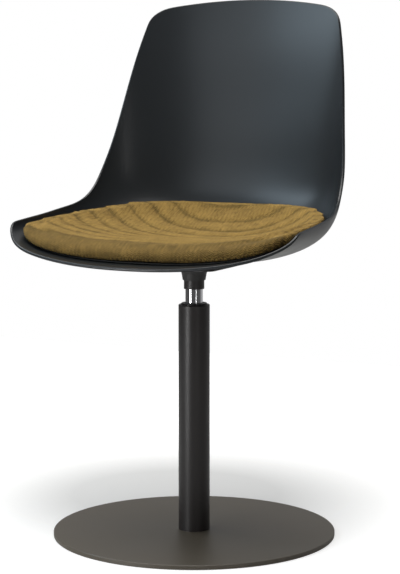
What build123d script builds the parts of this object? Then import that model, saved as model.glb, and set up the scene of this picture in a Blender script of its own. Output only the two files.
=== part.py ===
from build123d import *
import math
import os
from collections import namedtuple

# A swivel side chair: a one-piece moulded bucket shell with a loose knitted pad stands on a
# height-adjustable column and a flat disc base.
# The origin is on the floor at the column's axis. +Z is up, -Y is the sitter's front and +X
# the sitter's left. Every size is in millimetres.

os.makedirs("parts", exist_ok=True)

# ------------------------------------------------------------------ driving dimensions
# clearances
run_gap = 0.05  # radial, between a shaft and what it turns or slides in
joint_gap = 0.05  # between two pieces that are pressed, screwed or welded together
stop_gap = 0.3  # between two pieces that meet only at the end of a travel
layer_gap = 0.15  # between the thin layers under the pad
pad_gap = 1.0  # between the pad and its backing

# disc base
underlay_diameter = 438.0
underlay_thickness = 1.0
disc_diameter = 450.0
disc_thickness = 7.0
disc_edge_chamfer = 0.8
base_screw_count = 3
base_screw_circle = 28.0
base_screw_diameter = 8.0
base_screw_head = 15.5
base_screw_reach = 11.0  # into the foot plug
foot_plug_height = 15.0

# column tube and its guide bush
tube_diameter = 50.0
tube_wall = 2.0
tube_length = 357.0
bush_flange_height = 5.0
bush_flange_round = 1.6
bush_nose_diameter = 41.0
bush_nose_height = 2.4
bush_nose_round = 0.8
bush_sleeve_length = 75.0

# bearing at the foot of the gas spring
bearing_plate_height = 112.0  # underside above the disc's top
bearing_plate_thickness = 5.0
race_diameter = 27.0
race_thickness = 1.5
ball_diameter = 4.0
ball_count = 12
ball_circle = 18.6
ball_play = 0.02
cage_thickness = 2.0
cage_width = 7.0
rod_diameter = 10.0
rod_tail_diameter = 8.0
rod_tail_reach = 9.0  # below the bearing plate
clip_diameter = 15.0
clip_thickness = 1.2
clip_groove_depth = 1.0
clip_mouth_share = 0.9  # of the groove's diameter
rod_washer_diameter = 20.0
rod_washer_thickness = 1.5
bumper_diameter = 24.0
bumper_height = 18.0

# gas spring
height_travel = 100.0
cylinder_diameter = 28.0
cylinder_wall = 1.8
cylinder_cap = 20.0
taper_length = 24.0
taper_loss = 0.7  # on the radius, over the taper's length
rod_guide_height = 20.0
piston_room = 13.7  # between the rod guide and the piston at the greatest height
piston_height = 15.0
piston_tenon_diameter = 7.0
piston_tenon_reach = 1.0  # above the nut
piston_nut_width = 11.0
piston_nut_height = 4.0
seal_section = 2.0
release_pin_diameter = 6.0
release_pin_flat = 0.4  # radius of the flat on the pin's rounded end
release_pin_slack = 0.1  # under the lever
release_pin_depth = 14.0  # below the gas spring's top
release_pin_travel = 3.0  # room below the pin

# hub and seat plate
collar_diameter = 32.6
collar_height = 14.0
collar_below_top = 29.5  # underside of the collar, below the gas spring's top
collar_above_tube = 30.04  # underside of the collar above the tube, at the lowest height
socket_diameter = 36.5
socket_neck_diameter = 40.0
socket_neck_rise = 10.0
socket_top_diameter = 46.0
socket_height = 20.0
socket_mouth_diameter = 32.0
plate_width = 110.0
plate_corner = 16.0
plate_thickness = 2.5
plate_slot_width = 14.0
boss_spacing_x = 80.0
boss_spacing_y = 80.0
boss_diameter = 18.0
seat_washer_diameter = 16.0
seat_washer_thickness = 2.0
seat_screw_diameter = 5.0
seat_screw_head = 9.5
seat_screw_length = 10.5
insert_diameter = 9.0
insert_length = 6.5

# height lever
lever_width = 12.0
lever_corner = 3.0
lever_thickness = 4.5
lever_lift = 0.9  # underside of the lever above the plate's underside
lever_pivot_x = -22.0
lever_inner_end = 6.0
lever_outer_end = -158.0
lever_pin_diameter = 4.0
ear_length = 11.0
ear_thickness = 3.0
ear_height = 8.0
grip_length = 62.0
grip_width = 26.0
grip_thickness = 10.0
grip_overlap = 16.0
grip_corner = 9.9
grip_round = 2.6

# moulded shell
shell_thickness = 5.0
shell_rise = 14.0  # seat's lowest inner point above the seat plate's underside
shell_half_width = 240.0
shell_front = 232.0
shell_front_sweep = 39.0
shell_front_corner = 88.0
shell_side_room = 6.0  # of the front's straight sides outside the shell's half width
back_rise = 418.0  # middle of the top edge above the seat's lowest inner point
back_top_sweep = 18.0
back_top_in = 66.0  # of the top corners inside the shell's half width
back_side_rise = 337.0
back_side_in = 52.0  # of the back's upper sides inside the shell's half width
back_top_corner = 50.0
rim_round = 1.5
turn_steps = 14
seat_share = 0.63  # of the shell's length from front to top, that the pad's layers follow
seat_grid = 30
boss_sink = 3.75  # of the bosses into the shell's wall

# seat pad
pad_side_in = 12.0  # of the pad inside the shell's half width
pad_front = 211.0
pad_rear = 158.0
pad_widest = -90.0
pad_front_squareness = 5.5
pad_rear_squareness = 2.2
pad_front_sweep = 18.0
pad_sweep_half_width = 200.0
pad_thickness = 25.0
pad_crown = 3.0
pad_middle = -30.0
pad_scales = (0.12, 0.28, 0.44, 0.6, 0.76, 0.9)  # rings over the pad's two faces
pad_ring_points = 48
# the pad's rounded edge from below to above: inset from the outline, share of the thickness
pad_edge = [(12, 0), (5, 0.06), (1, 0.25), (0, 0.5), (1.5, 0.74), (6, 0.92), (14, 1)]
backing_thickness = 1.5
backing_inset = 14.0
fastener_thickness = 1.0
fastener_diameter = 44.0
fastener_spacing_x = 190.0
fastener_spacing_y = 130.0

# ------------------------------------------------------------------ heights that follow
disc_top = underlay_thickness + disc_thickness
tube_top = disc_top + tube_length
tube_bore = tube_diameter - 2 * tube_wall
plate_low = disc_top + bearing_plate_height
lower_race_low = plate_low + bearing_plate_thickness
ball_low = lower_race_low + race_thickness
ball_centre = ball_low + ball_play + ball_diameter / 2
upper_race_low = ball_low + ball_diameter + 2 * ball_play
rod_shoulder = upper_race_low + race_thickness
bumper_top = rod_shoulder + bumper_height
cylinder_low = bumper_top + stop_gap
collar_low = tube_top + collar_above_tube
cylinder_top = collar_low + collar_below_top
cylinder_bore = cylinder_diameter - 2 * cylinder_wall
taper_low = cylinder_top - taper_length
piston_low = cylinder_low + rod_guide_height + height_travel + piston_room
socket_low = collar_low + collar_height
socket_top = socket_low + socket_height
seat_plate_top = socket_top + plate_thickness
washer_top = seat_plate_top + seat_washer_thickness
shell_floor = socket_top + shell_rise
shell_side_limit = shell_half_width + shell_side_room
back_top_half_width = shell_half_width - back_top_in
back_side_half_width = shell_half_width - back_side_in
pad_half_width = shell_half_width - pad_side_in
lever_low = socket_top + lever_lift
lever_middle = lever_low + lever_thickness / 2
ears_width = plate_slot_width + 2 * ear_thickness
fastener_low = layer_gap
backing_low = fastener_low + fastener_thickness + layer_gap
pad_low = backing_low + backing_thickness + pad_gap


def save(builder, name):
    """Label a finished piece and write its STEP file."""
    builder.part.label = name
    export_step(builder.part, f"parts/{name}.step")


def facing_down(height):
    """A level plane at a height that looks down, for holes drilled from below."""
    return Plane(origin=(0, 0, height), x_dir=(1, 0, 0), z_dir=(0, 0, -1))


def ring(name, outer, bore, low, height):
    """Write a plain turned ring that stands on the column's axis."""
    with BuildPart() as piece:
        with BuildSketch(Plane.XY.offset(low)):
            Circle(outer / 2)
            Circle(bore / 2, mode=Mode.SUBTRACT)
        extrude(amount=height)
    save(piece, name)


# ------------------------------------------------------------------ disc base
with BuildPart() as floor_underlay:
    with BuildSketch():
        Circle(underlay_diameter / 2)
    extrude(amount=underlay_thickness)
save(floor_underlay, "floor_underlay")

with BuildPart() as base_disc:
    with BuildSketch(Plane.XY.offset(underlay_thickness)):
        Circle(disc_diameter / 2)
    extrude(amount=disc_thickness)
    chamfer(base_disc.edges().filter_by(GeomType.CIRCLE), disc_edge_chamfer)
    with Locations(facing_down(underlay_thickness)):
        with PolarLocations(base_screw_circle / 2, base_screw_count):
            CounterSinkHole(
                base_screw_diameter / 2 + joint_gap,
                base_screw_head / 2 + joint_gap,
                depth=disc_thickness,
                counter_sink_angle=90,
            )
save(base_disc, "base_disc")

with BuildPart() as foot_plug:
    with BuildSketch(Plane.XY.offset(disc_top)):
        Circle(tube_bore / 2 - joint_gap)
    extrude(amount=foot_plug_height)
    with Locations(facing_down(disc_top)):
        with PolarLocations(base_screw_circle / 2, base_screw_count):
            Hole(base_screw_diameter / 2 + joint_gap, depth=base_screw_reach + stop_gap)
save(foot_plug, "foot_plug")

base_screw_head_depth = (base_screw_head - base_screw_diameter) / 2
with BuildPart() as base_screws:
    head_low = underlay_thickness + joint_gap
    with BuildSketch(Plane.XZ.shift_origin((base_screw_circle / 2, 0, 0))):
        with BuildLine():
            Polyline(
                (0, head_low),
                (base_screw_head / 2, head_low),
                (base_screw_diameter / 2, head_low + base_screw_head_depth),
                (base_screw_diameter / 2, disc_top + base_screw_reach),
                (0, disc_top + base_screw_reach),
                close=True,
            )
        make_face()
    revolve(axis=Axis((base_screw_circle / 2, 0, 0), (0, 0, 1)))
    one_screw = base_screws.part
    for turn in range(1, base_screw_count):
        add(one_screw.rotate(Axis.Z, turn * 360 / base_screw_count))
save(base_screws, "base_screws")

# ------------------------------------------------------------------ column
with BuildPart() as column_tube:
    with BuildSketch(Plane.XY.offset(disc_top)):
        Circle(tube_diameter / 2)
        Circle(tube_bore / 2, mode=Mode.SUBTRACT)
    extrude(amount=tube_length)
save(column_tube, "column_tube")

bush_top = tube_top + bush_flange_height
with BuildPart() as guide_bush:
    with BuildSketch(Plane.XY.offset(tube_top - bush_sleeve_length)):
        Circle(tube_bore / 2 - joint_gap)
    extrude(amount=bush_sleeve_length)
    with BuildSketch(Plane.XY.offset(tube_top)):
        Circle(tube_diameter / 2)
    extrude(amount=bush_flange_height)
    fillet(guide_bush.edges().sort_by(Axis.Z)[-1], bush_flange_round)
    with BuildSketch(Plane.XY.offset(bush_top)):
        Circle(bush_nose_diameter / 2)
    extrude(amount=bush_nose_height)
    fillet(guide_bush.edges().sort_by(Axis.Z)[-1], bush_nose_round)
    with Locations((0, 0, bush_top + bush_nose_height)):
        Hole(cylinder_diameter / 2 + run_gap)
save(guide_bush, "guide_bush")

# ------------------------------------------------------------------ thrust bearing
tail_bore = rod_tail_diameter + 2 * run_gap
ring("bearing_plate", tube_bore - 2 * joint_gap, tail_bore, plate_low, bearing_plate_thickness)
ring("lower_race", race_diameter, tail_bore, lower_race_low, race_thickness)
ring("upper_race", race_diameter, tail_bore, upper_race_low, race_thickness)

with BuildPart() as bearing_cage:
    with BuildSketch(Plane.XY.offset(ball_centre - cage_thickness / 2)):
        Circle((ball_circle + cage_width) / 2)
        Circle((ball_circle - cage_width) / 2, mode=Mode.SUBTRACT)
        with PolarLocations(ball_circle / 2, ball_count):
            Circle(ball_diameter / 2 + run_gap, mode=Mode.SUBTRACT)
    extrude(amount=cage_thickness)
save(bearing_cage, "bearing_cage")

with BuildPart() as bearing_balls:
    with Locations(Plane.XY.offset(ball_centre)):
        with PolarLocations(ball_circle / 2, ball_count):
            Sphere(ball_diameter / 2)
save(bearing_balls, "bearing_balls")

ring("rubber_bumper", bumper_diameter, rod_diameter + 2 * run_gap, rod_shoulder, bumper_height)

rod_washer_low = plate_low - run_gap - rod_washer_thickness
clip_low = rod_washer_low - clip_thickness
ring("rod_washer", rod_washer_diameter, tail_bore, rod_washer_low, rod_washer_thickness)

groove_radius = rod_tail_diameter / 2 - clip_groove_depth
with BuildPart() as rod_clip:
    with BuildSketch(Plane.XY.offset(clip_low)):
        Circle(clip_diameter / 2)
        Circle(groove_radius + joint_gap, mode=Mode.SUBTRACT)
        with Locations((0, -clip_diameter / 2)):
            Rectangle(2 * groove_radius * clip_mouth_share, clip_diameter, mode=Mode.SUBTRACT)
    extrude(amount=clip_thickness)
save(rod_clip, "rod_clip")

# ------------------------------------------------------------------ gas spring
rod_end = plate_low - rod_tail_reach
tenon_top = piston_low + piston_height + piston_nut_height + piston_tenon_reach
with BuildPart() as piston_rod:
    with BuildSketch(Plane.XY.offset(rod_end)):
        Circle(rod_tail_diameter / 2)
    extrude(amount=rod_shoulder - rod_end)
    with BuildSketch(Plane.XY.offset(rod_shoulder)):
        Circle(rod_diameter / 2)
    extrude(amount=piston_low - rod_shoulder)
    with BuildSketch(Plane.XY.offset(piston_low)):
        Circle(piston_tenon_diameter / 2)
    extrude(amount=tenon_top - piston_low)
    with BuildSketch(Plane.XY.offset(clip_low - joint_gap)):
        Circle(rod_diameter)
        Circle(groove_radius, mode=Mode.SUBTRACT)
    extrude(amount=clip_thickness + 2 * joint_gap, mode=Mode.SUBTRACT)
    chamfer(piston_rod.edges().sort_by(Axis.Z)[0], clip_groove_depth / 2)
save(piston_rod, "piston_rod")

with BuildPart() as piston_head:
    with BuildSketch(Plane.XY.offset(piston_low)):
        Circle(cylinder_bore / 2 - run_gap)
        Circle(piston_tenon_diameter / 2 + joint_gap, mode=Mode.SUBTRACT)
    extrude(amount=piston_height)
    with BuildSketch(Plane.XY.offset(piston_low + (piston_height - seal_section) / 2)):
        Circle(cylinder_diameter / 2)
        Circle(cylinder_bore / 2 - seal_section, mode=Mode.SUBTRACT)
    extrude(amount=seal_section, mode=Mode.SUBTRACT)
save(piston_head, "piston_head")

seal_low = piston_low + (piston_height - seal_section) / 2 + joint_gap
ring(
    "piston_seal",
    cylinder_bore - run_gap,
    cylinder_bore - 2 * seal_section + 2 * joint_gap,
    seal_low,
    seal_section - 2 * joint_gap,
)

with BuildPart() as piston_nut:
    with BuildSketch(Plane.XY.offset(piston_low + piston_height)):
        RegularPolygon(piston_nut_width / 2, 6, major_radius=False)
        Circle(piston_tenon_diameter / 2 + joint_gap, mode=Mode.SUBTRACT)
    extrude(amount=piston_nut_height)
save(piston_nut, "piston_nut")

with BuildPart() as gas_cylinder:
    with BuildSketch(Plane.XZ):
        with BuildLine():
            Polyline(
                (cylinder_bore / 2, cylinder_low),
                (cylinder_diameter / 2, cylinder_low),
                (cylinder_diameter / 2, taper_low),
                (cylinder_diameter / 2 - taper_loss, cylinder_top),
                (0, cylinder_top),
                (0, cylinder_top - cylinder_cap),
                (cylinder_bore / 2, cylinder_top - cylinder_cap),
                close=True,
            )
        make_face()
    revolve(axis=Axis.Z)
    with Locations((0, 0, cylinder_top)):
        Hole(release_pin_diameter / 2 + run_gap, depth=release_pin_depth + release_pin_travel)
save(gas_cylinder, "gas_cylinder")

ring(
    "rod_guide",
    cylinder_bore - 2 * joint_gap,
    rod_diameter + 2 * run_gap,
    cylinder_low,
    rod_guide_height,
)

with BuildPart() as release_pin:
    with BuildSketch(Plane.XY.offset(cylinder_top - release_pin_depth)):
        Circle(release_pin_diameter / 2)
    extrude(amount=lever_low - release_pin_slack - cylinder_top + release_pin_depth)
    fillet(release_pin.edges().sort_by(Axis.Z)[-1], release_pin_diameter / 2 - release_pin_flat)
save(release_pin, "release_pin")

# ------------------------------------------------------------------ hub under the seat
ring("hub_collar", collar_diameter, cylinder_diameter + 2 * joint_gap, collar_low, collar_height)


def taper_radius(height):
    """Radius of the gas spring's taper at a height."""
    return cylinder_diameter / 2 - taper_loss * max(height - taper_low, 0) / taper_length


with BuildPart() as hub_socket:
    with BuildSketch(Plane.XZ):
        with BuildLine():
            Polyline(
                (taper_radius(socket_low) + joint_gap, socket_low),
                (socket_diameter / 2, socket_low),
                (socket_neck_diameter / 2, socket_low + socket_neck_rise),
                (socket_top_diameter / 2, socket_top),
                (socket_mouth_diameter / 2, socket_top),
                (socket_mouth_diameter / 2, cylinder_top),
                (taper_radius(cylinder_top) + joint_gap, cylinder_top),
                close=True,
            )
        make_face()
    revolve(axis=Axis.Z)
save(hub_socket, "hub_socket")

with BuildPart() as seat_plate:
    with BuildSketch(Plane.XY.offset(socket_top)):
        RectangleRounded(plate_width, plate_width, plate_corner)
        Circle(socket_mouth_diameter / 2, mode=Mode.SUBTRACT)
        with Locations((-plate_width / 2, 0)):
            Rectangle(plate_width, plate_slot_width, mode=Mode.SUBTRACT)
        with Locations((lever_pivot_x, 0)):
            Rectangle(ear_length + 2 * joint_gap, ears_width + 2 * joint_gap, mode=Mode.SUBTRACT)
    extrude(amount=plate_thickness)
    with Locations(facing_down(socket_top)):
        with GridLocations(boss_spacing_x, boss_spacing_y, 2, 2):
            CounterSinkHole(
                seat_screw_diameter / 2 + joint_gap,
                seat_screw_head / 2 + joint_gap,
                counter_sink_angle=90,
            )
save(seat_plate, "seat_plate")

# ------------------------------------------------------------------ height lever
with BuildPart() as lever_ears:
    with BuildSketch(Plane.XY.offset(socket_top)):
        with Locations((lever_pivot_x, 0)):
            Rectangle(ear_length, ears_width)
            Rectangle(ear_length, plate_slot_width, mode=Mode.SUBTRACT)
    extrude(amount=ear_height)
    with BuildSketch(Plane.XZ):
        with Locations((lever_pivot_x, lever_middle)):
            Circle(lever_pin_diameter / 2 + joint_gap)
    extrude(amount=plate_width, both=True, mode=Mode.SUBTRACT)
save(lever_ears, "lever_ears")

with BuildPart() as lever_pin:
    with BuildSketch(Plane.XZ):
        with Locations((lever_pivot_x, lever_middle)):
            Circle(lever_pin_diameter / 2)
    extrude(amount=ears_width / 2, both=True)
save(lever_pin, "lever_pin")

lever_length = lever_inner_end - lever_outer_end
with BuildPart() as height_lever:
    with BuildSketch(Plane.XY.offset(lever_low)):
        with Locations(((lever_inner_end + lever_outer_end) / 2, 0)):
            RectangleRounded(lever_length, lever_width, lever_corner)
    extrude(amount=lever_thickness)
    with BuildSketch(Plane.XZ):
        with Locations((lever_pivot_x, lever_middle)):
            Circle(lever_pin_diameter / 2 + run_gap)
    extrude(amount=lever_width, both=True, mode=Mode.SUBTRACT)
save(height_lever, "height_lever")

grip_inner_end = lever_outer_end + grip_overlap
with BuildPart() as lever_grip:
    with BuildSketch(Plane.XY.offset(lever_middle - grip_thickness / 2)):
        with Locations((grip_inner_end - grip_length / 2, 0)):
            RectangleRounded(grip_length, grip_width, grip_corner)
    extrude(amount=grip_thickness)
    fillet(lever_grip.faces().filter_by(Axis.Z).edges(), grip_round)
    with BuildSketch(Plane.YZ.offset(grip_inner_end)):
        with Locations((0, lever_middle)):
            Rectangle(lever_width + 2 * joint_gap, lever_thickness + 2 * joint_gap)
    extrude(amount=-(grip_overlap + joint_gap), mode=Mode.SUBTRACT)
save(lever_grip, "lever_grip")

# ------------------------------------------------------------------ moulded shell
# A station is one cross-section of the shell's inner face, from the middle to the rim. The
# rises are heights above the seat's lowest inner point, and rim_in is how far the rim lies
# inside the shell's greatest half width. sweep is the angle through which the section turns,
# and flatness is the power that flattens its middle.
Station = namedtuple("Station", "middle_y middle_rise rim_in rim_y rim_rise sweep flatness")

seat_stations = [
    Station(-262, -1, 2, -252, 54, 90, 0.80),
    Station(-232, 7, 1, -214, 58, 90, 0.80),
    Station(-180, 9.5, 0, -162, 61, 90, 0.80),
    Station(-120, 7, 1, -110, 65, 90, 0.80),
    Station(-60, 3, 3, -60, 69, 90, 0.80),
    Station(0, 0, 6, -10, 75, 88, 0.82),
    Station(52, 3, 12, 25, 81, 84, 0.84),
    Station(98, 16, 17, 50, 91, 80, 0.86),
    Station(135, 39, 21, 70, 107, 76, 0.88),
    Station(160, 70, 24, 87, 129, 72, 0.90),
]
back_stations = [
    Station(175, 114, 29, 104, 160, 66, 0.94),
    Station(186, 179, 37, 124, 212, 60, 0.98),
    Station(197, 257, 46, 146, 279, 55, 1.0),
    Station(207, 337, 58, 168, 347, 50, 1.0),
    Station(216, 397, 69, 184, 395, 48, 1.0),
    Station(223, 442, 76, 197, 437, 46, 1.0),
]


def half_section(station):
    """Points of one station from the middle to the rim."""
    sweep = math.radians(station.sweep)
    points = []
    for step in range(turn_steps + 1):
        turn = sweep * step / turn_steps
        across = (math.sin(turn) / math.sin(sweep)) ** station.flatness
        lift = (1 - math.cos(turn)) / (1 - math.cos(sweep))
        points.append(
            Vector(
                (shell_half_width - station.rim_in) * across,
                station.middle_y + (station.rim_y - station.middle_y) * lift,
                shell_floor + station.middle_rise + (station.rim_rise - station.middle_rise) * lift,
            )
        )
    return points


def section(station):
    """Points of one station from the sitter's left rim to the right one."""
    half = half_section(station)
    return half[::-1] + [Vector(-point.X, point.Y, point.Z) for point in half[1:]]


def smooth_face(rows):
    """One smooth face through rows of points."""
    return Face.make_surface_from_array_of_points(rows, tol=0.02)


inner_face = smooth_face([section(station) for station in seat_stations + back_stations])


def seat_points(lift):
    """Rows of points over the seat, each moved from the inner face by what lift gives."""
    rows = []
    for i in range(seat_grid + 1):
        along = seat_share * i / seat_grid
        row = []
        for j in range(seat_grid + 1):
            point = inner_face.position_at(along, j / seat_grid)
            up = inner_face.normal_at(along, j / seat_grid)
            row.append(point + lift(point, up))
        rows.append(row)
    return rows


def seat_layer(distance):
    """A face that follows the seat at a distance above its inner face."""
    return smooth_face(seat_points(lambda point, up: up * distance))


back_top = shell_floor + back_rise
side_y = -shell_front + shell_front_sweep
with BuildPart() as seat_shell:
    thicken(inner_face, amount=-shell_thickness)
    with BuildSketch() as plan:
        with BuildLine():
            ThreePointArc(
                (-shell_side_limit, side_y), (0, -shell_front), (shell_side_limit, side_y)
            )
            Polyline(
                (shell_side_limit, side_y),
                (shell_side_limit, shell_front * 2),
                (-shell_side_limit, shell_front * 2),
                (-shell_side_limit, side_y),
            )
        make_face()
        fillet(plan.vertices().sort_by(Axis.Y)[:2], shell_front_corner)
    extrude(amount=back_top * 2, mode=Mode.INTERSECT)
    shoulder = back_top - back_top_sweep
    side_height = shell_floor + back_side_rise
    with BuildSketch(Plane.XZ) as front_view:
        with BuildLine():
            ThreePointArc(
                (-back_top_half_width, shoulder), (0, back_top), (back_top_half_width, shoulder)
            )
            Polyline(
                (back_top_half_width, shoulder),
                (back_side_half_width, side_height),
                (shell_side_limit, side_height),
                (shell_side_limit, 0),
                (-shell_side_limit, 0),
                (-shell_side_limit, side_height),
                (-back_side_half_width, side_height),
                (-back_top_half_width, shoulder),
            )
        make_face()
        fillet(front_view.vertices().sort_by(Axis.Y)[-2:], back_top_corner)
    extrude(amount=shell_front * 2, both=True, mode=Mode.INTERSECT)
    skins = seat_shell.faces().sort_by(SortBy.AREA)[-2:]
    fillet([edge for skin in skins for edge in skin.outer_wire().edges()], rim_round)
    with BuildSketch(Plane.XY.offset(washer_top)):
        with GridLocations(boss_spacing_x, boss_spacing_y, 2, 2):
            Circle(boss_diameter / 2)
    extrude(amount=shell_floor - shell_thickness + boss_sink - washer_top)
    with Locations(facing_down(washer_top)):
        with GridLocations(boss_spacing_x, boss_spacing_y, 2, 2):
            Hole(insert_diameter / 2 + joint_gap, depth=insert_length)
save(seat_shell, "seat_shell")

with BuildPart() as threaded_inserts:
    with BuildSketch(Plane.XY.offset(washer_top)):
        with GridLocations(boss_spacing_x, boss_spacing_y, 2, 2):
            Circle(insert_diameter / 2)
            Circle(seat_screw_diameter / 2 + joint_gap, mode=Mode.SUBTRACT)
    extrude(amount=insert_length - joint_gap)
save(threaded_inserts, "threaded_inserts")

with BuildPart() as seat_washers:
    with BuildSketch(Plane.XY.offset(seat_plate_top)):
        with GridLocations(boss_spacing_x, boss_spacing_y, 2, 2):
            Circle(seat_washer_diameter / 2)
            Circle(seat_screw_diameter / 2 + joint_gap, mode=Mode.SUBTRACT)
    extrude(amount=seat_washer_thickness)
save(seat_washers, "seat_washers")

seat_screw_head_depth = (seat_screw_head - seat_screw_diameter) / 2
with BuildPart() as one_seat_screw:
    with BuildSketch(Plane.XZ):
        with BuildLine():
            Polyline(
                (0, socket_top),
                (seat_screw_head / 2, socket_top),
                (seat_screw_diameter / 2, socket_top + seat_screw_head_depth),
                (seat_screw_diameter / 2, socket_top + seat_screw_length),
                (0, socket_top + seat_screw_length),
                close=True,
            )
        make_face()
    revolve(axis=Axis.Z)

with BuildPart() as seat_screws:
    with GridLocations(boss_spacing_x, boss_spacing_y, 2, 2):
        add(one_seat_screw.part)
save(seat_screws, "seat_screws")

# ------------------------------------------------------------------ seat pad


def pad_outline_point(angle, inset):
    """A point of the pad's outline in plan, squarer in front than behind."""
    front = math.sin(angle) < 0
    power = pad_front_squareness if front else pad_rear_squareness
    depth = pad_widest + pad_front if front else pad_rear - pad_widest
    reach = (abs(math.cos(angle)) ** power + abs(math.sin(angle)) ** power) ** (-1 / power)
    x = (pad_half_width - inset) * reach * math.cos(angle)
    y = (depth - inset) * reach * math.sin(angle)
    if front:
        y += pad_front_sweep * (x / pad_sweep_half_width) ** 2 * -y / depth
    return x, pad_widest + y


def pad_sketch(inset):
    """The pad's outline as one closed spline, drawn in by an inset."""
    turns = [2 * math.pi * step / pad_ring_points for step in range(pad_ring_points)]
    points = [pad_outline_point(turn, inset) for turn in turns]
    with BuildSketch(mode=Mode.PRIVATE) as outline:
        with BuildLine():
            Spline(*points, periodic=True)
        make_face()
    return outline.sketch


def pad_ring(inset, scale, share):
    """A closed ring round the pad: inset from its outline, drawn in towards its middle and
    lifted by a share of its thickness."""
    points = []
    for step in range(pad_ring_points):
        x, y = pad_outline_point(2 * math.pi * step / pad_ring_points, inset)
        x, y = x * scale, pad_middle + (y - pad_middle) * scale
        seat, up = inner_face.find_intersection_points(Axis((x, y, 0), (0, 0, 1)))[0]
        crown = pad_crown * (1 - scale**2)
        points.append(seat + Vector(0, 0, pad_low / abs(up.Z) + share * (pad_thickness + crown)))
    if scale == min(pad_scales):
        level = sum(point.Z for point in points) / len(points)
        points = [Vector(point.X, point.Y, level) for point in points]
    return Wire([Edge.make_spline(points, periodic=True)])


prism_height = back_rise
prism_plane = Plane.XY.offset(shell_floor - shell_thickness)

under_rings = [pad_ring(pad_edge[0][0], scale, 0) for scale in pad_scales]
edge_rings = [pad_ring(inset, 1, share) for inset, share in pad_edge]
upper_rings = [pad_ring(pad_edge[-1][0], scale, 1) for scale in reversed(pad_scales)]
with BuildPart() as seat_pad:
    add(Solid.make_loft(under_rings + edge_rings + upper_rings, ruled=True))
save(seat_pad, "seat_pad")

with BuildPart() as pad_backing:
    thicken(seat_layer(backing_low), amount=backing_thickness)
    with BuildSketch(prism_plane):
        add(pad_sketch(backing_inset))
    extrude(amount=prism_height, mode=Mode.INTERSECT)
save(pad_backing, "pad_backing")

with BuildPart() as pad_fasteners:
    thicken(seat_layer(fastener_low), amount=fastener_thickness)
    with BuildSketch(prism_plane):
        with GridLocations(fastener_spacing_x, fastener_spacing_y, 2, 2):
            Circle(fastener_diameter / 2)
    extrude(amount=prism_height, mode=Mode.INTERSECT)
save(pad_fasteners, "pad_fasteners")
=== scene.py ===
"""Looks of a swivel side chair: a moulded bucket shell with a loose knitted seat pad on a
height-adjustable column and a flat disc base. Lengths are in metres, +Z is up and the sitter
faces -Y."""

import math

import bpy
import numpy as np
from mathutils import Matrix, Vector, bvhtree


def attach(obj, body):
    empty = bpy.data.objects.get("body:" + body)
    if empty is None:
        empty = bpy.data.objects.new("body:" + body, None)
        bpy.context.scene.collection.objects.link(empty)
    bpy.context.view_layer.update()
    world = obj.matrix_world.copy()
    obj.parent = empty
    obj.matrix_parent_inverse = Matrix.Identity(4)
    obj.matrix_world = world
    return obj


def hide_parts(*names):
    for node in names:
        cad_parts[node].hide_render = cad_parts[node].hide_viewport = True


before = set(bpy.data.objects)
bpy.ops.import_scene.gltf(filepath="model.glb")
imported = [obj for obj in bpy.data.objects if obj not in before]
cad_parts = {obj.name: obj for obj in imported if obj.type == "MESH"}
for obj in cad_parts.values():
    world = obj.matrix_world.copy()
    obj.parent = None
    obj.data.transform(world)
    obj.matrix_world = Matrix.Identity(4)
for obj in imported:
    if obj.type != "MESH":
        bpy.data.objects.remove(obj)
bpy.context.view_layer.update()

bl_info = {
    "name": "Swivel shell chair",
    "version": (1, 0, 0),
    "blender": (4, 5, 0),
    "location": "View3D > Sidebar > Chair",
    "description": "Dresses the chair's solids with a moulded shell, a knitted pad and finishes",
    "category": "Object",
}

MM = 0.001
SAME_PLACE = 0.001 * MM

# ------------------------------------------------------------------ shape of the shell
# Cross-sections of the shell's inner face, from the seat's front to the back's top. Each has,
# in millimetres, the middle's y and rise above the seat's floor, how far the rim lies inside
# the half width, and the rim's y and rise. Then come the angle that the section sweeps, in
# degrees, and the power that flattens it (1 is round).
SEAT_STATIONS = [
    (-262, -1, 2, -252, 54, 90, 0.80),
    (-232, 7, 1, -214, 58, 90, 0.80),
    (-180, 9.5, 0, -162, 61, 90, 0.80),
    (-120, 7, 1, -110, 65, 90, 0.80),
    (-60, 3, 3, -60, 69, 90, 0.80),
    (0, 0, 6, -10, 75, 88, 0.82),
    (52, 3, 12, 25, 81, 84, 0.84),
    (98, 16, 17, 50, 91, 80, 0.86),
    (135, 39, 21, 70, 107, 76, 0.88),
    (160, 70, 24, 87, 129, 72, 0.90),
]
BACK_STATIONS = [
    (175, 114, 29, 104, 160, 66, 0.94),
    (186, 179, 37, 124, 212, 60, 0.98),
    (197, 257, 46, 146, 279, 55, 1.0),
    (207, 337, 58, 168, 347, 50, 1.0),
    (216, 397, 69, 184, 395, 48, 1.0),
    (223, 442, 76, 197, 437, 46, 1.0),
]
SHELL_FLOOR = 443.04 * MM
SHELL_HALF_WIDTH = 240 * MM
SHELL_WALL = 5 * MM
BOSS_RADIUS = 9 * MM
BOSS_PLACE = 40 * MM
BOSS_LOW = 433.54 * MM
BOSS_TOP = 441.79 * MM

# The trimmed outline, in plan for the seat's front and in front view for the back's top.
FRONT_EDGE = -232 * MM
FRONT_SWEEP = 39 * MM
FRONT_HALF_WIDTH = 246 * MM
FRONT_CORNER = 88 * MM
TOP_EDGE = 861 * MM
TOP_SWEEP = 18 * MM
TOP_HALF_WIDTH = 174 * MM
TOP_CORNER = 50 * MM
BACK_SIDE_HALF_WIDTH = 188 * MM
BACK_SIDE_HEIGHT = 780 * MM

RIM_POINTS = 320
SHELL_RINGS = 60
ARC_STEPS = 240
EDGE_STEPS = 60
CROSSING_STEPS = 30
RIM_SMOOTHING = 3
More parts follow.
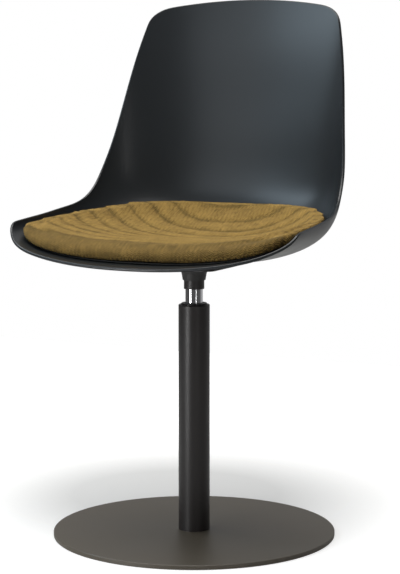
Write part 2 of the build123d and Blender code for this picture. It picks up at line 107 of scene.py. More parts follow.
# Powers that crowd the steps of a section towards its middle, and those of the rim's corners
# and of the rings towards the rim.
ARC_CROWDING = 1.25
EDGE_CROWDING = 1.6
RING_CROWDING = 1.35
RIM_SEGMENTS = 5
BOSS_EDGE = 0.5 * MM
SHELL_SMOOTH_ANGLE = 40

# ------------------------------------------------------------------ shape of the pad
PAD_HALF_WIDTH = 228 * MM
PAD_FRONT = -211 * MM
PAD_REAR = 156 * MM
PAD_WIDEST = -90 * MM
PAD_MIDDLE = -30 * MM
PAD_SWEEP = 18 * MM
PAD_SWEEP_HALF_WIDTH = 200 * MM
PAD_FRONT_POWER = 5.5
PAD_REAR_POWER = 2.6
PAD_LIFT = 4.0 * MM
PAD_CROWN = 3 * MM
PAD_COLUMNS = 96
PAD_VOXEL = 5 * MM
# Inset from the outline in millimetres and share of the thickness, from the underside up.
PAD_EDGE = [(12, 0), (5, 0.06), (1, 0.25), (0, 0.5), (1.5, 0.74), (6, 0.92), (14, 1)]
# Sizes of the rings inside the edge, as shares of the outline.
PAD_RINGS = (0, 0.15, 0.3, 0.45, 0.6, 0.75, 0.88)
SWELL_PRESSURE = 4
SWELL_FRAMES = 20
# The share of its lift that the swollen pad keeps, the least upward part of a normal that the
# lift allows for, and a height above the seat from which to look down on it.
LIFT_KEPT = 0.9
STEEPEST_UP = 0.5
ABOVE_SEAT = 620 * MM

# ------------------------------------------------------------------ ridges and stitches
# Where the first ridge starts in the middle and at the sides, and how much wider the ridges
# get at the sides. The power sets how they bow between the two.
RIDGE_START = -165 * MM
RIDGE_START_SIDE = -150 * MM
RIDGE_SPREAD = 0.35
RIDGE_POWER = 2.1
# Size, radians a metre along x and along y, and offset of the waves that the ridges follow.
RIDGE_WANDER = [(3.5 * MM, 19, 11, 0), (2 * MM, 43, -29, 1)]
# Leaning makes a ridge rise faster than it falls. Variety is how much its height changes.
RIDGE_LEAN = 0.75
RIDGE_VARIETY = 0.25
RIDGE_VARIETY_TURNS = (2.4, 5)
# The ridges fade down to a share near the outline, and out on steep faces and on the front
# band. Each fade has where it starts and how far it runs: by inset, by how much the normal
# points up and by ridge number.
RIDGE_EDGE_SHARE = 0.12
RIDGE_EDGE_FADE = (6 * MM, 34 * MM)
RIDGE_SLOPE_FADE = (0.35, 0.4)
RIDGE_FRONT_FADE = (-0.45, 0.45)
# Painted shade on the knit: half width of a dark painted crease shadow, in ridges, how strongly
# painted shade darkens the rear of a ridge, and the share of a ridge from which it does.
PAINTED_CREASE_SHADOW_WIDTH = 0.2
PAINTED_SLOPE_SHADE = 0.5
PAINTED_SLOPE_SHADE_MIDDLE = 0.35
# Ridge numbers between which the painted crease shadows start and the painted shade of the
# front band ends, and how much painted shade the front band gets.
PAINTED_CREASE_SHADOW_START = (-0.5, -0.1)
PAINTED_BAND_SHADE_END = (-0.22, 0.08)
PAINTED_BAND_SHADE = 1.05
# Wander of the columns and length and height of a stitch, in stitch widths. The slant is how
# far a stitch runs along for each step across.
COLUMN_WANDER = 2.5
STITCH_LENGTH = 1.5
STITCH_HEIGHT = 0.45
STITCH_SLANT = 1.3
# How far the pattern runs on for each metre down the pad's upright edge.
KNIT_EDGE_RUN = 1.4
# Range of the knit's shade, and the shares of its colour that its ends get.
KNIT_SHADES = (0.66, 1.38)
KNIT_TINTS = (0.28, 1.75)

# ------------------------------------------------------------------ stage
CAMERA_DISTANCE = 2.9345
CAMERA_TARGET = Vector((0.0104, 0, 0.5675))
CAMERA_SHIFT = -0.1853
LAMP_TARGET = Vector((0, 0, 0.45))
WHITE = (1, 1, 1)
WARM = (1, 0.985, 0.96)
# Name, direction round the chair and upwards in degrees, distance, size, power and colour.
LAMPS = [
    ("overhead_softbox", -20, 84, 2.7, (2.5, 2.0), 74, WARM),
    ("left_key", -95, 50, 2.6, (1.2, 1.0), 14, WARM),
    ("cool_softbox", -60, 29, 2.5, (1.9, 0.6), 17, (0.70, 0.87, 1)),
    ("left_softbox", -20, 24, 2.6, (1.3, 0.7), 5, (0.84, 0.93, 1)),
    ("low_strip", -24, -9, 1.6, (0.34, 0.4), 6.5, WHITE),
    ("right_strip", 52, 2, 2.6, (0.12, 1.7), 3, WHITE),
]
# What shiny surfaces see of the room before and behind the chair, between which shares of
# the way back it changes, and what the room adds as light.
ROOM_FRONT = 0.08
ROOM_BACK = 0.42
ROOM_TURN = (0.2, 0.95)
ROOM_FILL = 0.16
FLOOR_HALF = 1.7
FLOOR_COLOUR = (0.56, 0.555, 0.545)
# Glow of the floor in the middle of the shadow, and what shiny surfaces see of it. The glow
# is lower round the shadow's middle, which paints a deeper shadow there, and rises to white
# between two distances from the shadow's middle.
FLOOR_GLOW = 0.21
FLOOR_GLOSS = 0.03
SHADOW_MIDDLE = (-0.15, 0.235, 0)
SHADOW_FADE = (0.18, 0.6)


def natural_spline(knots, values):
    """A smooth function through the values at the knots, with straight ends."""
    knots, values = np.array(knots, float), np.array(values, float)
    gaps = np.diff(knots)
    count = len(knots)
    matrix = np.eye(count)
    right = np.zeros_like(values)
    for i in range(1, count - 1):
        matrix[i, i - 1 : i + 2] = gaps[i - 1], 2 * (gaps[i - 1] + gaps[i]), gaps[i]
        slopes = (values[i + 1] - values[i]) / gaps[i], (values[i] - values[i - 1]) / gaps[i - 1]
        right[i] = 6 * (slopes[0] - slopes[1])
    bends = np.linalg.solve(matrix, right)

    def value(at):
        i = int(np.clip(np.searchsorted(knots, at) - 1, 0, count - 2))
        a, b = (knots[i + 1] - at) / gaps[i], (at - knots[i]) / gaps[i]
        curve = ((a**3 - a) * bends[i] + (b**3 - b) * bends[i + 1]) * gaps[i] ** 2 / 6
        return a * values[i] + b * values[i + 1] + curve

    return value


class ShellSurface:
    """The shell's inner face: a point for each length from the front and arc from the middle."""

    def __init__(self):
        stations = np.array(SEAT_STATIONS + BACK_STATIONS, float)
        middles = (stations[:, 0:2] + stations[:, 3:5]) / 2 * MM
        steps = np.hypot(*np.diff(middles, axis=0).T)
        knots = np.concatenate([[0], np.cumsum(steps)])
        self.length = knots[-1]
        self.at_length = natural_spline(knots, stations)

    def section(self, along):
        """Points and arc lengths of the section at a length, from the middle to the rim."""
        middle_y, middle_rise, rim_in, rim_y, rim_rise, sweep, flatness = self.at_length(along)
        sweep = math.radians(sweep)
        turns = sweep * np.linspace(0, 1, ARC_STEPS + 1) ** ARC_CROWDING
        x = (SHELL_HALF_WIDTH - rim_in * MM) * (np.sin(turns) / math.sin(sweep)) ** flatness
        lift = (1 - np.cos(turns)) / (1 - math.cos(sweep))
        y = (middle_y + (rim_y - middle_y) * lift) * MM
        z = SHELL_FLOOR + (middle_rise + (rim_rise - middle_rise) * lift) * MM
        points = np.stack([x, y, z], axis=1)
        arcs = np.concatenate([[0], np.cumsum(np.linalg.norm(np.diff(points, axis=0), axis=1))])
        return points, arcs

    def point(self, along, arc):
        """The point at a length and a signed arc from the middle, towards the sitter's left."""
        points, arcs = self.section(along)
        at = min(abs(arc), arcs[-1])
        x, y, z = (np.interp(at, arcs, points[:, axis]) for axis in range(3))
        return Vector((math.copysign(x, arc), y, z))

    def reach(self, along):
        """Arc length from the middle to the rim."""
        return self.section(along)[1][-1]


def front_line(x):
    """Plan line of the seat's front edge: a shallow arc with a round corner."""
    radius = (FRONT_HALF_WIDTH**2 + FRONT_SWEEP**2) / (2 * FRONT_SWEEP)
    centre = FRONT_EDGE + radius
    corner_x = FRONT_HALF_WIDTH - FRONT_CORNER
    corner_y = centre - math.sqrt((radius - FRONT_CORNER) ** 2 - corner_x**2)
    join = corner_x * radius / (radius - FRONT_CORNER)
    if x < join:
        return centre - math.sqrt(radius**2 - x**2)
    return corner_y - math.sqrt(max(FRONT_CORNER**2 - (x - corner_x) ** 2, 0))


def top_corner(radius, centre):
    """Centre of the round corner between the top edge's arc and the back's upper side."""
    run = Vector((BACK_SIDE_HALF_WIDTH - TOP_HALF_WIDTH, BACK_SIDE_HEIGHT - TOP_EDGE + TOP_SWEEP))
    run.normalize()
    out = Vector((-run.y, run.x))
    across = TOP_HALF_WIDTH * out.x + (TOP_EDGE - TOP_SWEEP - centre) * out.y - TOP_CORNER
    along = math.sqrt((radius - TOP_CORNER) ** 2 - across**2)
    x, z = across * out - along * run
    return x, centre + z


def top_line(x):
    """Front-view line of the back's top edge: a shallow arc with a round corner."""
    radius = (TOP_HALF_WIDTH**2 + TOP_SWEEP**2) / (2 * TOP_SWEEP)
    centre = TOP_EDGE - radius
    corner_x, corner_z = top_corner(radius, centre)
    if x < corner_x * radius / (radius - TOP_CORNER):
        return centre + math.sqrt(radius**2 - x**2)
    return corner_z + math.sqrt(max(TOP_CORNER**2 - (x - corner_x) ** 2, 0))


def crossing(surface, arc_share, low, high, beyond):
    """Length between low and high at which a share of the section's arc crosses an edge."""
    for _ in range(CROSSING_STEPS):
        along = (low + high) / 2
        if beyond(surface.point(along, arc_share * surface.reach(along))):
            high = along
        else:
            low = along
    return low, arc_share * surface.reach(low)


def crowded_shares(steps, power):
    """Shares from 0 to 1 that lie closer together towards 1."""
    return [1 - (1 - i / steps) ** power for i in range(steps + 1)]


def shell_outline(surface):
    """The trimmed rim as evenly spaced pairs of length and arc, from the front's middle round
    the sitter's left side to the back's top and down the other side."""
    half = surface.length / 2
    shares = crowded_shares(EDGE_STEPS, EDGE_CROWDING)
    front = [
        crossing(surface, share, 0, half, lambda p: p.y > front_line(abs(p.x)))
        for share in shares
    ]
    top = [
        crossing(surface, share, half, surface.length, lambda p: p.z > top_line(abs(p.x)))
        for share in shares
    ]
    low, high = front[-1][0], top[-1][0]
    side = []
    for i in range(1, 2 * EDGE_STEPS):
        along = low + (high - low) * i / (2 * EDGE_STEPS)
        side.append((along, surface.reach(along)))
    right = np.array(front + side + top[::-1])
    left = right[-2:0:-1] * (1, -1)
    loop = np.concatenate([right, left, right[:1]])
    travel = np.concatenate([[0], np.cumsum(np.linalg.norm(np.diff(loop, axis=0), axis=1))])
    even = np.linspace(0, travel[-1], RIM_POINTS, endpoint=False)
    ring = np.stack([np.interp(even, travel, loop[:, axis]) for axis in range(2)], axis=1)
    for _ in range(RIM_SMOOTHING):
        ring = (np.roll(ring, 1, axis=0) + 2 * ring + np.roll(ring, -1, axis=0)) / 4
    return ring


# ------------------------------------------------------------------ mesh helpers
def deselect():
    """Leave nothing selected."""
    for thing in bpy.context.selected_objects:
        thing.select_set(False)


def select_only(piece):
    """Select one piece and make it active."""
    deselect()
    piece.select_set(True)
    bpy.context.view_layer.objects.active = piece


def wrapped_grid(name, around, rows, place):
    """A grid primitive wrapped into a closed ring of columns: place gives the point of each
    column and row. Rows that fall on one point are merged into a pole."""
    deselect()
    bpy.ops.mesh.primitive_grid_add(x_subdivisions=around, y_subdivisions=rows, size=2)
    piece = bpy.context.object
    piece.name = name
    piece.data.name = name
    for vertex in piece.data.vertices:
        column = round((vertex.co.x + 1) / 2 * around)
        row = round((vertex.co.y + 1) / 2 * rows)
        vertex.co = place(column % around, row)
    merge_doubles(piece)
    return piece


def edit_all(piece):
    """Open a piece in edit mode with all of it selected."""
    select_only(piece)
    bpy.ops.object.mode_set(mode="EDIT")
    bpy.ops.mesh.select_all(action="SELECT")


def merge_doubles(piece):
    """Merge vertices that share a place and turn the faces outwards."""
    edit_all(piece)
    bpy.ops.mesh.remove_doubles(threshold=SAME_PLACE)
    bpy.ops.mesh.normals_make_consistent(inside=False)
    bpy.ops.object.mode_set(mode="OBJECT")


def apply_modifier(piece, kind, **values):
    """Add one modifier with its values and apply it."""
    select_only(piece)
    modifier = piece.modifiers.new(kind.lower(), kind)
    for key, value in values.items():
        setattr(modifier, key, value)
    bpy.ops.object.modifier_apply(modifier=modifier.name)


def smooth(piece, angle=None):
    """Shade a piece smooth, all over or up to an angle."""
    select_only(piece)
    if angle is None:
        bpy.ops.object.shade_smooth()
    else:
        bpy.ops.object.shade_smooth_by_angle(angle=math.radians(angle))
    deselect()


# ------------------------------------------------------------------ materials
class Finish:
    """A node material with a Principled shader and short ways to add what feeds it."""

    def __init__(self, name, colour, roughness, metallic=0.0, specular=0.5):
        self.material = bpy.data.materials.new(name)
        self.material.use_nodes = True
        self.material.diffuse_color = (*colour, 1)
        self.nodes = self.material.node_tree.nodes
        self.links = self.material.node_tree.links
        self.shader = self.nodes["Principled BSDF"]
        self.colour = colour
        self.shader.inputs["Base Color"].default_value = (*colour, 1)
        self.shader.inputs["Roughness"].default_value = roughness
        self.shader.inputs["Metallic"].default_value = metallic
        self.shader.inputs["Specular IOR Level"].default_value = specular
        self.place = self.nodes.new("ShaderNodeTexCoord").outputs["Object"]

    def stretched(self, scale):
        """Object coordinates scaled along each axis."""
        mapping = self.nodes.new("ShaderNodeMapping")
        mapping.inputs["Scale"].default_value = scale
        self.links.new(self.place, mapping.inputs["Vector"])
        return mapping.outputs["Vector"]

    def noise(self, scale, detail=2.0, roughness=0.5, vector=None):
        """A noise field of so many features a metre."""
        node = self.nodes.new("ShaderNodeTexNoise")
        node.inputs["Scale"].default_value = scale
        node.inputs["Detail"].default_value = detail
        node.inputs["Roughness"].default_value = roughness
        self.links.new(vector or self.place, node.inputs["Vector"])
        return node.outputs["Fac"]

    def math(self, operation, first, second=0.0):
        """One math step between fields or numbers."""
        node = self.nodes.new("ShaderNodeMath")
        node.operation = operation
        for socket, value in zip(node.inputs, (first, second)):
            if isinstance(value, (int, float)):
                socket.default_value = value
            else:
                self.links.new(value, socket)
        return node.outputs[0]

    def ramp(self, field, low, high, to_low, to_high):
        """Map a field from one range to another, with its ends held."""
        node = self.nodes.new("ShaderNodeMapRange")
        ends = {"From Min": low, "From Max": high, "To Min": to_low, "To Max": to_high}
        for socket, value in ends.items():
            node.inputs[socket].default_value = value
        self.links.new(field, node.inputs["Value"])
        return node.outputs["Result"]

    def spread(self, field):
        """Stretch a noise field, which keeps near its middle, over 0 to 1."""
        return self.ramp(field, 0.3, 0.7, 0, 1)

    def total(self, *parts):
        """The sum of fields, each times its weight."""
        result = None
        for field, weight in parts:
            term = field if weight == 1 else self.math("MULTIPLY", field, weight)
            result = term if result is None else self.math("ADD", result, term)
        return result

    def tint(self, field, dark, light):
        """Colour the surface between a darker and a lighter share of its own colour."""
        mix = self.nodes.new("ShaderNodeMix")
        mix.data_type = "RGBA"
        mix.inputs["A"].default_value = (*[channel * dark for channel in self.colour], 1)
        mix.inputs["B"].default_value = (*[channel * light for channel in self.colour], 1)
        self.links.new(field, mix.inputs["Factor"])
        self.links.new(mix.outputs["Result"], self.shader.inputs["Base Color"])

    def rough(self, field, low, high):
        """Vary the roughness by a field between 0 and 1."""
        self.links.new(self.ramp(field, 0, 1, low, high), self.shader.inputs["Roughness"])

    def bump(self, field, height, strength=1.0):
        """Raise the surface by a field times a height in metres."""
        node = self.nodes.new("ShaderNodeBump")
        node.inputs["Distance"].default_value = height
        node.inputs["Strength"].default_value = strength
        self.links.new(field, node.inputs["Height"])
        self.links.new(node.outputs["Normal"], self.shader.inputs["Normal"])


def powder_coat(name, colour, roughness, specular=0.45):
    """Baked powder paint: a fine orange peel with small lighter and darker grains."""
    finish = Finish(name, colour, roughness, specular=specular)
    grain = finish.noise(1500, detail=3, roughness=0.65)
    cloud = finish.noise(9, detail=2)
    finish.tint(finish.spread(finish.total((grain, 0.7), (cloud, 0.3))), 0.86, 1.14)
    finish.rough(cloud, roughness - 0.04, roughness + 0.05)
    finish.bump(grain, 0.12 * MM, 0.5)
    return finish.material


def moulded_plastic(name, colour, roughness):
    """Injection-moulded plastic with a fine spark-eroded grain and faint flow marks."""
    finish = Finish(name, colour, roughness)
    grain = finish.noise(2600, detail=2)
    flow = finish.noise(7, detail=3)
    finish.tint(flow, 0.93, 1.07)
    finish.rough(finish.total((grain, 0.5), (flow, 0.5)), roughness - 0.05, roughness + 0.05)
    finish.bump(grain, 0.03 * MM, 0.5)
    return finish.material


def bright_metal(name, colour, roughness, brushed=(1, 1, 1)):
    """Bare or plated metal with faint marks, drawn out along the brushed direction."""
    finish = Finish(name, colour, roughness, metallic=1.0)
    marks = finish.noise(900, detail=4, vector=finish.stretched(brushed))
    finish.tint(marks, 0.96, 1.04)
    finish.rough(marks, roughness * 0.7, roughness * 1.4)
    finish.bump(marks, 0.01 * MM, 0.3)
    return finish.material


def soft_black(name, grey, roughness, grain_scale, grain_height):
    """Rubber, felt or tape: matt and dark, with a grain of its own size."""
    finish = Finish(name, (grey, grey, grey), roughness, specular=0.3)
    grain = finish.noise(grain_scale, detail=4, roughness=0.7)
    finish.tint(finish.spread(grain), 0.75, 1.25)
    finish.bump(grain, grain_height, 0.8)
    return finish.material


def knitted_cloth(name, colour, stitch, spacing):
    """Ochre knit: slanted stitches in columns that turn over, painted shade in the creases
    between the ridges, on their rear slopes and on the front band, a mottled colour and a
    soft sheen."""
    finish = Finish(name, colour, 0.9, specular=0.2)
    finish.shader.inputs["Sheen Weight"].default_value = 0.12
    finish.shader.inputs["Sheen Roughness"].default_value = 0.45
    finish.shader.inputs["Sheen Tint"].default_value = (0.9, 0.72, 0.4, 1)
    split = finish.nodes.new("ShaderNodeSeparateXYZ")
    finish.links.new(finish.place, split.inputs["Vector"])
    x, y, z = (split.outputs[axis] for axis in "XYZ")
    wander = finish.math("SUBTRACT", finish.noise(55, detail=2), 0.5)
    column = finish.math(
        "PINGPONG", finish.total((x, 1), (wander, stitch * COLUMN_WANDER)), stitch
    )
    slanted = finish.total((y, 1), (z, KNIT_EDGE_RUN), (column, STITCH_SLANT))
    turns = math.tau / (stitch * STITCH_LENGTH)
    loops = finish.math("SINE", finish.math("MULTIPLY", slanted, turns))
    loops = finish.ramp(loops, -1, 1, 0, 1)
    edge = finish.math("DIVIDE", column, stitch)
    fuzz = finish.noise(700, detail=5, roughness=0.75)
    height = finish.total((loops, 0.75), (fuzz, 0.9), (edge, -0.25))
    fibres = finish.noise(330, detail=3, roughness=0.7, vector=finish.stretched((1, 0.25, 1)))
    patches = finish.noise(48, detail=7, roughness=0.75)
    # Painted shade: darker creases between the ridges, darker rear slopes and a darker front band.
    ridge_shade_painted = painted_ridge_shade(finish, x, y, spacing)
    shade = finish.total((height, 0.5), (patches, 0.7), (fibres, 0.7), (ridge_shade_painted, -0.21))
    finish.tint(finish.ramp(shade, *KNIT_SHADES, 0, 1), *KNIT_TINTS)
    finish.bump(height, stitch * STITCH_HEIGHT)
    return finish.material


def painted_ridge_shade(finish, x, y, spacing):
    """Painted shade on the knit, from the same phase as ridge_phase gives: dark painted shadows in
    the creases between the pad's ridges, darker rear slopes and a darker front band.
    """
    side = finish.math("DIVIDE", finish.math("ABSOLUTE", x), PAD_HALF_WIDTH)
    side = finish.math("POWER", side, RIDGE_POWER)
    place = y
    for size, by_x, by_y, turn in RIDGE_WANDER:
        wave = finish.math("ADD", finish.total((x, by_x), (y, by_y)), turn)
        place = finish.total((place, 1), (finish.math("SINE", wave), size))
    start = finish.math("MULTIPLY", side, RIDGE_START_SIDE - RIDGE_START)
    place = finish.math("SUBTRACT", place, finish.math("ADD", start, RIDGE_START))
    step = finish.math("ADD", finish.math("MULTIPLY", side, RIDGE_SPREAD * spacing), spacing)
    phase = finish.math("DIVIDE", place, step)
    # Painted shadow along each crease between two ridges.
    painted_crease_shadow = finish.ramp(finish.math("PINGPONG", phase, 0.5), 0, PAINTED_CREASE_SHADOW_WIDTH, 1, 0)
    # Painted shade on the rear slope of each ridge.
    painted_slope_shade = finish.math("SUBTRACT", finish.math("FRACT", phase), PAINTED_SLOPE_SHADE_MIDDLE)
    painted_shade_lines = finish.total((painted_crease_shadow, 1), (painted_slope_shade, PAINTED_SLOPE_SHADE))
    painted_shade_lines = finish.math("MULTIPLY", painted_shade_lines, finish.ramp(phase, *PAINTED_CREASE_SHADOW_START, 0, 1))
    # Painted shade over the front band, which faces down.
    return finish.math("ADD", painted_shade_lines, finish.ramp(phase, *PAINTED_BAND_SHADE_END, PAINTED_BAND_SHADE, 0))


# ------------------------------------------------------------------ settings
class ChairShellSettings(bpy.types.PropertyGroup):
    wall: bpy.props.FloatProperty(
        name="Wall", description="Thickness of the moulded shell", default=SHELL_WALL, unit="LENGTH"
    )
    rim: bpy.props.FloatProperty(
        name="Rim", description="Rounding of the shell's rim", default=2.1 * MM, unit="LENGTH"
    )
    colour: bpy.props.FloatVectorProperty(
        name="Colour", description="Colour of the moulded plastic", subtype="COLOR",
        default=(0.0150, 0.0175, 0.0200),
    )
    roughness: bpy.props.FloatProperty(
        name="Roughness", description="How dull the plastic is", default=0.31, subtype="FACTOR"
    )


class ChairPadSettings(bpy.types.PropertyGroup):
    thickness: bpy.props.FloatProperty(
        name="Thickness", description="Height of the pad before it swells",
        default=22 * MM, unit="LENGTH",
    )
    swell: bpy.props.FloatProperty(
        name="Swell", description="Most that a point of the pad may swell",
        default=4 * MM, unit="LENGTH",
    )
    ridge_height: bpy.props.FloatProperty(
        name="Ridge height", description="Height of the knitted ridges",
        default=2.8 * MM, unit="LENGTH",
    )
    ridge_spacing: bpy.props.FloatProperty(
        name="Ridge spacing", description="Distance between the knitted ridges",
        default=34 * MM, unit="LENGTH",
    )
    stitch: bpy.props.FloatProperty(
        name="Stitch", description="Width of one knitted stitch", default=3.3 * MM, unit="LENGTH"
    )
    colour: bpy.props.FloatVectorProperty(
        name="Colour", description="Colour of the knit", subtype="COLOR",
        default=(0.335, 0.210, 0.056),
    )


class ChairMetalSettings(bpy.types.PropertyGroup):
    disc_colour: bpy.props.FloatVectorProperty(
        name="Disc", description="Colour of the disc base's paint", subtype="COLOR",
        default=(0.083, 0.0670, 0.0460),
    )
    tube_colour: bpy.props.FloatVectorProperty(
        name="Tube", description="Colour of the column tube's paint", subtype="COLOR",
        default=(0.0195, 0.0162, 0.0156),
    )
    chrome: bpy.props.FloatProperty(
        name="Chrome roughness", description="How dull the plated cylinder is",
        default=0.06, subtype="FACTOR",
    )


class ChairStageSettings(bpy.types.PropertyGroup):
    lens: bpy.props.FloatProperty(
        name="Lens", description="Focal length of the camera in millimetres", default=116.05
    )
    azimuth: bpy.props.FloatProperty(
        name="Azimuth", description="Direction of the camera round the chair",
        default=math.radians(25.83), subtype="ANGLE",
    )
    pitch: bpy.props.FloatProperty(
        name="Pitch", description="How far the camera looks down",
        default=math.radians(3.5), subtype="ANGLE",
    )


# ------------------------------------------------------------------ operators
class CHAIR_OT_stage(bpy.types.Operator):
    """Add the camera, the soft studio lights and the pale floor"""

    bl_idname = "chair.stage"
    bl_label = "Stage"

    def execute(self, context):
        settings = context.scene.chair_stage
        add_camera(settings)
        for lamp in LAMPS:
            add_lamp(*lamp)
        add_room()
        add_floor()
        context.scene.view_settings.view_transform = "Standard"
        return {"FINISHED"}


def outwards(azimuth, elevation):
    """Direction from the chair, round it from the front and upwards."""
    return Vector(
        (
            math.sin(azimuth) * math.cos(elevation),
            -math.cos(azimuth) * math.cos(elevation),
            math.sin(elevation),
        )
    )


def add_camera(settings):
    """The camera at the photograph's viewing angle."""
    back = outwards(settings.azimuth, settings.pitch)
    bpy.ops.object.camera_add(location=CAMERA_TARGET + back * CAMERA_DISTANCE)
    camera = bpy.context.object
    camera.rotation_euler = (-back).to_track_quat("-Z", "Y").to_euler()
    camera.data.lens = settings.lens
    camera.data.shift_y = CAMERA_SHIFT
    bpy.context.scene.camera = camera
    deselect()


def add_lamp(name, azimuth, elevation, distance, size, power, colour):
    """A soft rectangular lamp that faces the chair's middle."""
    back = outwards(math.radians(azimuth), math.radians(elevation))
    bpy.ops.object.light_add(type="AREA", location=LAMP_TARGET + back * distance)
    lamp = bpy.context.object
    lamp.name = name
    lamp.data.shape = "RECTANGLE"
    lamp.data.size, lamp.data.size_y = size
    lamp.data.energy = power
    lamp.data.color = colour
    lamp.rotation_euler = (-back).to_track_quat("-Z", "Y").to_euler()
    deselect()


def add_room():
    """The world: white to the camera, a faint fill for matt surfaces, and for shiny ones a
    room that is dim on the side that the chair faces and paler behind it."""
    world = bpy.data.worlds.new("room")
    bpy.context.scene.world = world
    world.use_nodes = True
    nodes, links = world.node_tree.nodes, world.node_tree.links
    background = nodes["Background"]
    path = nodes.new("ShaderNodeLightPath")
    direction = nodes.new("ShaderNodeTexCoord")
    split = nodes.new("ShaderNodeSeparateXYZ")
    links.new(direction.outputs["Generated"], split.inputs["Vector"])
    behind = nodes.new("ShaderNodeMapRange")
    behind.interpolation_type = "SMOOTHSTEP"
    ends = ("From Min", "From Max", "To Min", "To Max")
    for socket, value in zip(ends, (*ROOM_TURN, ROOM_FRONT, ROOM_BACK)):
        behind.inputs[socket].default_value = value
    links.new(split.outputs["Y"], behind.inputs["Value"])
    shiny = nodes.new("ShaderNodeMath")
    shiny.operation = "MAXIMUM"
    links.new(path.outputs["Is Glossy Ray"], shiny.inputs[0])
    links.new(path.outputs["Is Transmission Ray"], shiny.inputs[1])
    seen = nodes.new("ShaderNodeMix")
    links.new(shiny.outputs[0], seen.inputs["Factor"])
    seen.inputs["A"].default_value = ROOM_FILL
    links.new(behind.outputs["Result"], seen.inputs["B"])
    white = nodes.new("ShaderNodeMix")
    links.new(path.outputs["Is Camera Ray"], white.inputs["Factor"])
    links.new(seen.outputs["Result"], white.inputs["A"])
    white.inputs["B"].default_value = 1.0
    links.new(white.outputs["Result"], background.inputs["Strength"])
    background.inputs["Color"].default_value = (*WHITE, 1)


def add_floor():
    """A pale floor that keeps the chair's soft shadow, painted deeper by a lower glow round the
    shadow's middle, and turns white away from it.
    """
    bpy.ops.mesh.primitive_grid_add(x_subdivisions=8, y_subdivisions=8, size=2 * FLOOR_HALF)
    floor = bpy.context.object
    floor.name = "floor"
    finish = Finish("pale_floor", FLOOR_COLOUR, 0.9, specular=0.0)
    nodes, links = finish.nodes, finish.links
    grain = finish.noise(40, detail=3)
    finish.tint(grain, 0.99, 1.01)
    path = nodes.new("ShaderNodeLightPath")
    rays = (path.outputs[f"Is {kind} Ray"] for kind in ("Glossy", "Transmission"))
    shiny = finish.math("MAXIMUM", *rays)
    distance = nodes.new("ShaderNodeVectorMath")
    distance.operation = "DISTANCE"
    distance.inputs[1].default_value = SHADOW_MIDDLE
    links.new(finish.place, distance.inputs[0])
    # Painted shadow: the floor glows less round the shadow's middle and turns white further out.
    spread = finish.ramp(distance.outputs["Value"], *SHADOW_FADE, FLOOR_GLOW, 1.0)
    camera_glow_with_painted_shadow = finish.math("MULTIPLY", path.outputs["Is Camera Ray"], spread)
    gleam = finish.math("MULTIPLY", shiny, FLOOR_GLOSS)
    glow = nodes.new("ShaderNodeEmission")
    links.new(finish.math("ADD", camera_glow_with_painted_shadow, gleam), glow.inputs["Strength"])
    both = nodes.new("ShaderNodeAddShader")
    links.new(finish.shader.outputs[0], both.inputs[0])
    links.new(glow.outputs[0], both.inputs[1])
    links.new(both.outputs[0], nodes["Material Output"].inputs["Surface"])
    floor.data.materials.append(finish.material)
    deselect()


class CHAIR_OT_shell(bpy.types.Operator):
    """Mould the bucket shell with its round rim and its screw bosses"""

    bl_idname = "chair.shell"
    bl_label = "Moulded shell"

    def execute(self, context):
        settings = context.scene.chair_shell
        surface = ShellSurface()
        rim = shell_outline(surface)
        middle = np.array((rim[:, 0].mean(), 0))
        shares = crowded_shares(SHELL_RINGS, RING_CROWDING)

        def place(column, row):
            along, arc = middle + (rim[column] - middle) * shares[row]
            return surface.point(along, arc)

        shell = wrapped_grid("bucket_shell", RIM_POINTS, SHELL_RINGS, place)
        face_up(shell)
        apply_modifier(shell, "SOLIDIFY", thickness=settings.wall, offset=-1, use_even_offset=True)
        apply_modifier(
            shell, "BEVEL", width=settings.rim, segments=RIM_SEGMENTS, limit_method="ANGLE",
            angle_limit=math.radians(50), use_clamp_overlap=False,
        )
        add_bosses(shell)
        smooth(shell, SHELL_SMOOTH_ANGLE)
        plastic = moulded_plastic("shell_plastic", tuple(settings.colour), settings.roughness)
        shell.data.materials.append(plastic)
        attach(shell, "seat")
        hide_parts("seat_shell")
        return {"FINISHED"}


def add_bosses(shell):
    """Join the four round screw bosses to the shell's underside."""
    bosses = []
    height = BOSS_TOP - BOSS_LOW
    for x in (-BOSS_PLACE, BOSS_PLACE):
        for y in (-BOSS_PLACE, BOSS_PLACE):
            deselect()
            middle = (x, y, BOSS_LOW + height / 2)
            bpy.ops.mesh.primitive_cylinder_add(
                vertices=48, radius=BOSS_RADIUS, depth=height, location=middle
            )
            boss = bpy.context.object
            apply_modifier(
                boss, "BEVEL", width=BOSS_EDGE, segments=3, limit_method="ANGLE",
                angle_limit=math.radians(60),
            )
            bosses.append(boss)
    select_only(shell)
    for boss in bosses:
        boss.select_set(True)
    bpy.ops.object.join()
    deselect()


def face_up(piece):
    """Turn an open sheet's faces so that they look up at the seat's middle."""
    lowest = min(piece.data.polygons, key=lambda face: face.center.z)
    if lowest.normal.z < 0:
        edit_all(piece)
        bpy.ops.mesh.flip_normals()
        bpy.ops.object.mode_set(mode="OBJECT")


